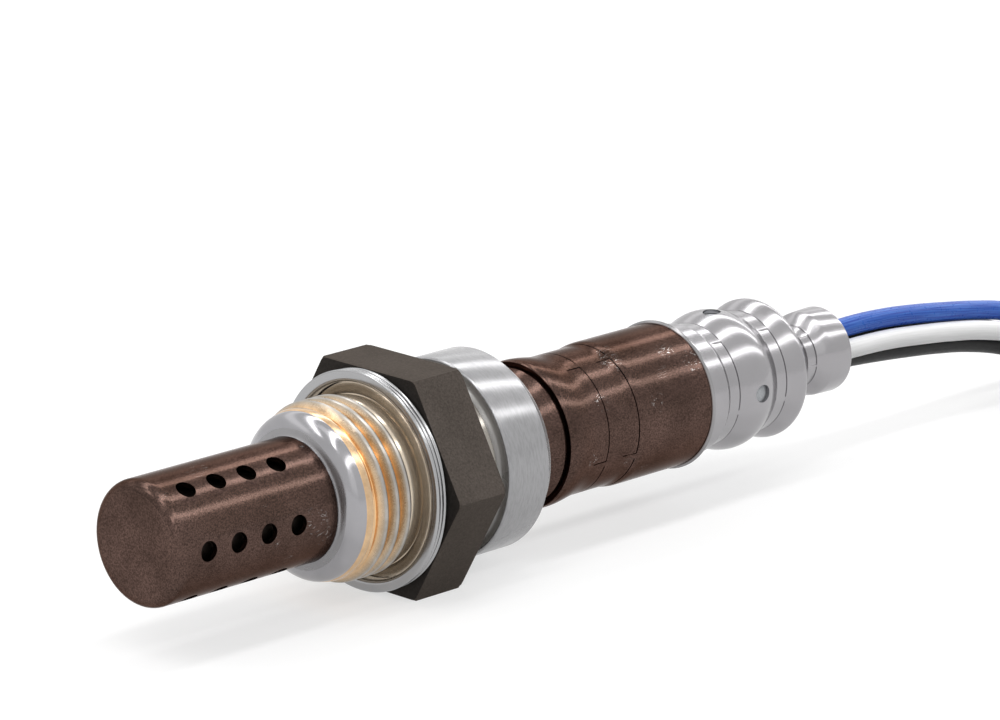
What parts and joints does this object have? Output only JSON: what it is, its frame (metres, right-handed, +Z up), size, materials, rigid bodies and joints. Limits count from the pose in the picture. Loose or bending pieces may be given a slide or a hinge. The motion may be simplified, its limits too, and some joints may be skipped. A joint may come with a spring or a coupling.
{
  "type": "oxygen sensor",
  "caption": "Heated exhaust oxygen sensor with a perforated tip, threaded hexagon body, crimped sleeves and loose leads folded into a tied hank.",
  "frame": {"origin": "on the sensor's axis, in the plane of the gasket's sealing face", "axes": "+X along the axis from the tip in the exhaust towards the leads, +Z up, with the hexagon's lower flat and the hank's tie on the surface at z = -11 mm"},
  "size_m": [0.2156, 0.0282, 0.022],
  "materials": {
    "body_steel": "turned steel, polished at the nose, coated gold on the thread and dark on the hexagon",
    "gasket_steel": "bright rolled sheet",
    "tinted_steel": "heat-tinted brown, fine grain and light scratches",
    "dark_steel": "dark heat-tinted sheet",
    "satin_steel": "satin drawn sheet",
    "plain_steel": "plain pressed steel",
    "white_ceramic": "fired, unglazed",
    "talc": "pressed powder",
    "filter_white": "porous fluoropolymer",
    "black_rubber": "moulded",
    "terminal_brass": "stamped",
    "blue_insulation": "extruded, satin",
    "white_insulation": "extruded, satin",
    "black_insulation": "extruded, satin",
    "tie_plastic": "plain band"
  },
  "bodies": {
    "root": {"housing": "body_steel", "gasket": "gasket_steel", "outer_protection_cover": "tinted_steel", "inner_protection_cover": "dark_steel", "sensing_element": "white_ceramic", "seat_washer": "plain_steel", "talc_packing": "talc", "ceramic_bush": "white_ceramic", "packing_ring": "plain_steel", "heater_rod": "white_ceramic", "inner_contact": "plain_steel", "outer_contact": "plain_steel", "ceramic_holder": "white_ceramic", "holder_band": "plain_steel", "inner_sleeve": "tinted_steel", "outer_sleeve": "tinted_steel", "rear_cover": "satin_steel", "filter_sleeve": "filter_white", "rubber_grommet": "black_rubber", "blue_terminal": "terminal_brass", "white_terminal": "terminal_brass", "black_terminal_low": "terminal_brass", "black_terminal_high": "terminal_brass", "blue_lead": "blue_insulation", "white_lead": "white_insulation", "black_lead_low": "black_insulation", "black_lead_high": "black_insulation", "lead_hank": "black_insulation", "hank_tie": "tie_plastic"}
  },
  "joints": []
}
